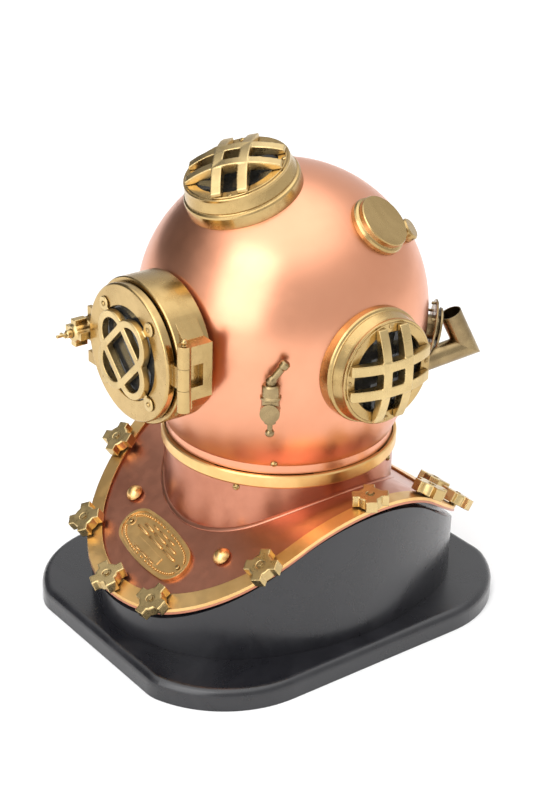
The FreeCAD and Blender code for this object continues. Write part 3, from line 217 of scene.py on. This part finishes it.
def black_rubber():
    """Matt moulded rubber."""
    graph = Graph("black_rubber")
    grain = graph.noise(1800.0, 3.0, 0.6)
    bloom = graph.span(graph.noise(50.0, 4.0, 0.6), 0.4, 0.75)
    tone = graph.mix(bloom, rgb(0.012, 0.012, 0.012), rgb(0.035, 0.034, 0.033))
    graph.set(Base_Color=tone, Roughness=graph.span(bloom, 0.0, 1.0, 0.6, 0.8),
              Normal=graph.bump(0.25, 0.0001, grain))
    return graph.material


# The third colour of each metal darkens both its real dark specks and its painted shade in
# hollows; the amount given after that colour sets how strong the painted shade is.
COPPER = metal(
    "satin_copper", light=rgb(0.80, 0.37, 0.225), deep=rgb(0.71, 0.305, 0.175),
    stain_and_shade=rgb(0.20, 0.08, 0.045), rough=0.29, painted_shade_amount=0.55, spun=0.05, pits=0.03, edge=0.15,
    cloud_scale=5.0, blotch=0.08)
BROWN_COPPER = metal(
    "brown_copper", light=rgb(0.58, 0.25, 0.16), deep=rgb(0.43, 0.17, 0.105),
    stain_and_shade=rgb(0.10, 0.04, 0.028), rough=0.30, painted_shade_amount=0.6, spun=0.04, pits=0.08, edge=0.25,
    cloud_scale=12.0, blotch=0.15)
BRASS = metal(
    "aged_brass", light=rgb(0.57, 0.40, 0.175), deep=rgb(0.36, 0.24, 0.095),
    stain_and_shade=rgb(0.085, 0.05, 0.022), rough=0.23, painted_shade_amount=0.65, spun=0.06, pits=0.15, edge=0.45)
CAST_BRASS = metal(
    "cast_brass", light=rgb(0.68, 0.51, 0.245), deep=rgb(0.50, 0.36, 0.16),
    stain_and_shade=rgb(0.08, 0.055, 0.03), rough=0.30, painted_shade_amount=0.95, pits=0.45, edge=0.5,
    cavity_reach=9.0, cloud_scale=22.0)
DARK_BRASS = metal(
    "dark_brass", light=rgb(0.38, 0.28, 0.14), deep=rgb(0.22, 0.155, 0.08),
    stain_and_shade=rgb(0.045, 0.03, 0.02), rough=0.26, painted_shade_amount=0.9, pits=0.5, edge=0.4,
    cloud_scale=28.0)
GOLD_BRASS = metal(
    "golden_brass", light=rgb(0.86, 0.56, 0.235), deep=rgb(0.70, 0.42, 0.15),
    stain_and_shade=rgb(0.16, 0.085, 0.03), rough=0.33, painted_shade_amount=0.5, pits=0.08, edge=0.6,
    cloud_scale=14.0, blotch=0.2)
ZINC = metal(
    "zinc_steel", light=rgb(0.60, 0.60, 0.61), deep=rgb(0.45, 0.45, 0.46),
    stain_and_shade=rgb(0.12, 0.12, 0.12), rough=0.35)
LACQUER = lacquer()
GLASS = smoked_glass()
RUBBER = black_rubber()

FINISH = {"copper": COPPER, "brown_copper": BROWN_COPPER, "brass": BRASS, "dark_brass": DARK_BRASS,
          "black_lacquer": LACQUER, "glass": GLASS, "rubber": RUBBER, "zinc_steel": ZINC}
CAST_NODES = ("left_port_guard", "right_port_guard", "top_port_guard", "door_guard", "strap_nuts",
              "latch_nut", "strap_studs", "latch_bolt")
GOLD_NODES = ("front_left_strap", "front_right_strap", "rear_left_strap", "rear_right_strap",
              "neck_ring", "nameplate", "breastplate_studs")
SLOT_OF = {part["node"]: part["material_slot"] for part in frame["record"]["subparts"]}


# Carried-over pieces ----------------------------------------------------------

SHARP_ANGLE = math.radians(32)
CAST_VOXEL = 0.6 * MM
# Castings whose edges are softened, with the number of smoothing passes.
SOFTENED = {"left_port_guard": 5, "right_port_guard": 5, "top_port_guard": 5, "door_guard": 5,
            "strap_nuts": 4, "latch_nut": 4}


def finish_cad(name, thing):
    """Shade a CAD piece smooth between its sharp edges and give it its finish."""
    for face in thing.data.polygons:
        face.use_smooth = True
    thing.data.set_sharp_from_angle(angle=SHARP_ANGLE)
    thing.data.materials.clear()
    finish = CAST_BRASS if name in CAST_NODES else FINISH[SLOT_OF[name]]
    thing.data.materials.append(GOLD_BRASS if name in GOLD_NODES else finish)


def cast(name, passes):
    """Give a CAD piece the softened edges of a casting."""
    thing = NODES[name]
    melt = thing.modifiers.new("melt", "REMESH")
    melt.mode = "VOXEL"
    melt.voxel_size = CAST_VOXEL
    melt.use_smooth_shade = True
    ease = thing.modifiers.new("ease", "SMOOTH")
    ease.factor = 0.5
    ease.iterations = passes


def add_piece(name, form, material, body):
    """Turn a built form into a smooth piece that rides on a body."""
    mesh = bpy.data.meshes.new(name)
    form.to_mesh(mesh)
    form.free()
    mesh.materials.append(material)
    for face in mesh.polygons:
        face.use_smooth = True
    thing = bpy.data.objects.new(name, mesh)
    bpy.context.scene.collection.objects.link(thing)
    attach(thing, body)


for node_name, node_object in NODES.items():
    finish_cad(node_name, node_object)
for node_name, smoothing_passes in SOFTENED.items():
    cast(node_name, smoothing_passes)


# Nameplate relief -------------------------------------------------------------

BORDER_HALF_X, BORDER_HALF_Y, BORDER_BEADS = 49.5 * MM, 18.2 * MM, 64
OVAL_BLUNTNESS = 2.6
BEAD_RADIUS, BEAD_DEPTH = 1.15 * MM, 0.95 * MM
# No beads beside the screws: beyond this far along the plate and within this far of its middle.
SCREW_ROOM_X, SCREW_ROOM_Y = 41.0 * MM, 6.0 * MM

# Rows of bars: place across the plate, reach to either side, half width; millimetres.
BAR_ROWS = ((12.6, 19.0, 1.2), (7.6, 29.0, 1.5), (1.8, 35.0, 1.6), (-15.0, 17.0, 1.0))
# Each row is broken twice, at these shares of its reach, by a gap on top of the bar's width.
LEFT_BREAK, RIGHT_BREAK, BREAK_GAP = 0.35, 0.3, 2.4
BAR_FLOOR, BAR_CREST = -1.7 * MM, 0.05 * MM
BAR_STEPS, BAR_ROUNDNESS = 8, 0.6
TIP_WIDTH, TIP_HEIGHT = 0.25, 0.4


def mean(points):
    """Middle of some points."""
    return sum(points, Vector()) / len(points)


def plate_frame():
    """Frame on the nameplate: X between its two screws, Z out of its face."""
    heads = [vertex.co for vertex in NODES["nameplate_screws"].data.vertices]
    middle = mean(heads)
    left = [point for point in heads if point.x > middle.x]
    right = [point for point in heads if point.x <= middle.x]
    across = (mean(left) - mean(right)).normalized()
    plate = NODES["nameplate"].data
    upper = max(plate.polygons, key=lambda face: face.area * face.normal.z).normal
    out = (upper - across * upper.dot(across)).normalized()
    along = out.cross(across)
    face_height = max(vertex.co.dot(out) for vertex in plate.vertices)
    origin = middle + out * (face_height - middle.dot(out))
    turn = Matrix((across, along, out)).transposed().to_4x4()
    return Matrix.Translation(origin) @ turn


def blunt_oval(half_x, half_y, count):
    """Points round an oval with blunt ends."""
    power = 2.0 / OVAL_BLUNTNESS
    points = []
    for index in range(count):
        angle = 2 * math.pi * index / count
        across, along = math.cos(angle), math.sin(angle)
        points.append(Vector((half_x * math.copysign(abs(across) ** power, across),
                              half_y * math.copysign(abs(along) ** power, along), 0)))
    return points


def add_bar(form, place, start, stop, half):
    """Round-topped straight bar between two points on the plate, with narrowed tips."""
    rows = []
    way = (stop - start).normalized()
    side = Vector((-way.y, way.x, 0))
    for point, share in ((start - way * half, TIP_WIDTH), (start, 1.0), (stop, 1.0),
                         (stop + way * half, TIP_WIDTH)):
        top = (BAR_CREST - BAR_FLOOR) * (TIP_HEIGHT + (1 - TIP_HEIGHT) * share)
        row = []
        for step in range(BAR_STEPS + 1):
            turn = math.pi * step / BAR_STEPS
            rise = BAR_FLOOR + top * math.sin(turn) ** BAR_ROUNDNESS
            spot = point + side * (half * share * math.cos(turn))
            row.append(form.verts.new(place @ Vector((spot.x, spot.y, rise))))
        rows.append(row)
    for one, two in zip(rows, rows[1:]):
        for a, b, c, d in zip(one, one[1:], two[1:], two):
            form.faces.new((a, b, c, d))
        form.faces.new((one[0], two[0], two[-1], one[-1]))
    form.faces.new(rows[0])
    form.faces.new(list(reversed(rows[-1])))


def build_beads(place):
    """Beaded border inside the rim of the dished nameplate."""
    beads = bmesh.new()
    for point in blunt_oval(BORDER_HALF_X, BORDER_HALF_Y, BORDER_BEADS):
        if abs(point.x) > SCREW_ROOM_X and abs(point.y) < SCREW_ROOM_Y:
            continue
        spot = place @ Matrix.Translation(Vector((point.x, point.y, -BEAD_DEPTH)))
        bmesh.ops.create_icosphere(beads, subdivisions=2, radius=BEAD_RADIUS, matrix=spot)
    add_piece("plate_beads", beads, GOLD_BRASS, "breastplate")


def build_bars(place):
    """Plain broken bars on the nameplate, in place of its lettering."""
    bars = bmesh.new()
    for y, reach, half in BAR_ROWS:
        gap = BREAK_GAP + 2 * half
        pieces = ((-reach, -reach * LEFT_BREAK - gap),
                  (-reach * LEFT_BREAK, reach * RIGHT_BREAK),
                  (reach * RIGHT_BREAK + gap, reach))
        for low_x, high_x in pieces:
            add_bar(bars, place, Vector((low_x, y, 0)) * MM, Vector((high_x, y, 0)) * MM,
                    half * MM)
    bmesh.ops.recalc_face_normals(bars, faces=bars.faces)
    add_piece("plate_bars", bars, GOLD_BRASS, "breastplate")


plate_place = plate_frame()
build_beads(plate_place)
build_bars(plate_place)


# Solder seam ------------------------------------------------------------------

SEAM_BEAD, SEAM_OFFSET = 1.7 * MM, 0.5 * MM
# Half width and half height of the seam's section, in beads.
SEAM_SPREAD, SEAM_LIFT = 1.6, 0.8
SEAM_STEPS, SEAM_SIDES = 240, 10
DOWN = Vector((0, 0, -1))


def build_seam():
    """Raised seam where the neck collar meets the breastplate, each point laid on the sheet."""
    low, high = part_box("neck_collar")
    seam_radius = (high[0] - low[0]) / 2 + SEAM_OFFSET
    sheet = BVHTree.FromObject(NODES["breastplate"], bpy.context.evaluated_depsgraph_get())
    rings = []
    seam = bmesh.new()
    for step in range(SEAM_STEPS):
        angle = 2 * math.pi * step / SEAM_STEPS
        out = Vector((math.cos(angle), math.sin(angle), 0))
        ring = []
        for side in range(SEAM_SIDES):
            turn = 2 * math.pi * side / SEAM_SIDES
            spot = out * (seam_radius + SEAM_SPREAD * SEAM_BEAD * math.cos(turn))
            surface = sheet.ray_cast(spot + Vector((0, 0, high[2])), DOWN)[0]
            lift = SEAM_LIFT * SEAM_BEAD * math.sin(turn)
            ring.append(seam.verts.new(surface + Vector((0, 0, lift))))
        rings.append(ring)
    for one, two in zip(rings, rings[1:] + rings[:1]):
        for index in range(SEAM_SIDES):
            following = (index + 1) % SEAM_SIDES
            seam.faces.new((one[index], two[index], two[following], one[following]))
    bmesh.ops.recalc_face_normals(seam, faces=seam.faces)
    add_piece("collar_seam", seam, BROWN_COPPER, "breastplate")


build_seam()


# Room, light and camera -------------------------------------------------------

FLOOR_HALF = 12.0
LIGHT_TARGET = Vector((0, 0, 0.3))
WHITE = rgb(1.0, 1.0, 1.0)
# Each lobe of world light: turn, rise, the two cosines it fades between, its strength at each.
DIM_SIDE = (-72, 8, 0.55, 0.93, 0.80, 0.14)
BRIGHT_TOP = (0, 90, 0.6, 0.95, 0.0, 1.4)
# Camera turned and tipped from looking along +Y, then rolled; degrees.
CAMERA_YAW, CAMERA_PITCH, CAMERA_ROLL = 52.1265, -25.9733, 1.66755
CAMERA_PLACE = Vector((1.289508, -1.005431, 1.010790))
LENS_LENGTH, SENSOR_WIDTH = 81.69, 36.0


def heading(turn, rise):
    """Direction at a turn from the front towards the wearer's left and a rise; degrees."""
    turn, rise = math.radians(turn), math.radians(rise)
    return Vector((math.sin(turn) * math.cos(rise), -math.cos(turn) * math.cos(rise),
                   math.sin(rise)))


def build_floor():
    """Wide pale floor under the stand."""
    mesh = bpy.data.meshes.new("studio_floor")
    signs = ((-1, -1), (1, -1), (1, 1), (-1, 1))
    corners = [(x * FLOOR_HALF, y * FLOOR_HALF, 0) for x, y in signs]
    mesh.from_pydata(corners, [], [(0, 1, 2, 3)])
    floor = bpy.data.objects.new("studio_floor", mesh)
    bpy.context.scene.collection.objects.link(floor)
    graph = Graph("pale_floor")
    shade = graph.mix(graph.noise(1.5, 3.0), rgb(0.93, 0.93, 0.93), rgb(0.90, 0.90, 0.905))
    graph.set(Base_Color=shade, Roughness=0.9, Specular_IOR_Level=0.1)
    mesh.materials.append(graph.material)


def softbox(name, turn, rise, distance, width, height, radiance):
    """Rectangular light aimed at the helmet."""
    way = heading(turn, rise)
    lamp = bpy.data.lights.new(name, "AREA")
    lamp.shape = "RECTANGLE"
    lamp.size = width
    lamp.size_y = height
    lamp.energy = radiance * math.pi * width * height
    thing = bpy.data.objects.new(name, lamp)
    thing.location = LIGHT_TARGET + way * distance
    thing.rotation_euler = way.to_track_quat("Z", "Y").to_euler()
    bpy.context.scene.collection.objects.link(thing)


def pale_room():
    """World light: pale all round, dim towards the wearer's right and bright overhead."""
    world = bpy.data.worlds.new("pale_room")
    world.use_nodes = True
    tree = world.node_tree
    way = tree.nodes.new("ShaderNodeTexCoord").outputs["Generated"]

    def lobe(turn, rise, from_low, from_high, to_low, to_high):
        """Smooth step on the cosine of the angle from one direction."""
        aim = tree.nodes.new("ShaderNodeVectorMath")
        aim.operation = "DOT_PRODUCT"
        aim.inputs[1].default_value = heading(turn, rise)
        tree.links.new(way, aim.inputs[0])
        fade = tree.nodes.new("ShaderNodeMapRange")
        fade.interpolation_type = "SMOOTHSTEP"
        for key, value in (("From Min", from_low), ("From Max", from_high), ("To Min", to_low),
                           ("To Max", to_high)):
            fade.inputs[key].default_value = value
        tree.links.new(aim.outputs["Value"], fade.inputs["Value"])
        return fade.outputs["Result"]

    sides = lobe(*DIM_SIDE)
    overhead = lobe(*BRIGHT_TOP)
    total = tree.nodes.new("ShaderNodeMath")
    total.operation = "ADD"
    tree.links.new(sides, total.inputs[0])
    tree.links.new(overhead, total.inputs[1])
    back = tree.nodes["Background"]
    back.inputs["Color"].default_value = WHITE
    tree.links.new(total.outputs["Value"], back.inputs["Strength"])
    bpy.context.scene.world = world


def set_camera():
    """Three-quarter view from the wearer's front left, looking down."""
    yaw, pitch, roll = (math.radians(angle) for angle in (CAMERA_YAW, CAMERA_PITCH, CAMERA_ROLL))
    ahead = Vector((-math.sin(yaw) * math.cos(pitch), math.cos(yaw) * math.cos(pitch),
                    math.sin(pitch)))
    right = Vector((math.cos(yaw), math.sin(yaw), 0))
    up = right.cross(ahead)
    across = right * math.cos(roll) + up * math.sin(roll)
    upward = up * math.cos(roll) - right * math.sin(roll)
    lens = bpy.data.cameras.new("view")
    lens.lens = LENS_LENGTH
    lens.sensor_width = SENSOR_WIDTH
    camera = bpy.data.objects.new("view", lens)
    basis = Matrix((across, upward, -ahead)).transposed().to_4x4()
    camera.matrix_world = Matrix.Translation(CAMERA_PLACE) @ basis
    bpy.context.scene.collection.objects.link(camera)
    bpy.context.scene.camera = camera


build_floor()
pale_room()
softbox("window", turn=17, rise=30, distance=2.6, width=1.9, height=3.0, radiance=2.6)
set_camera()
bpy.context.scene.view_settings.view_transform = "Standard"
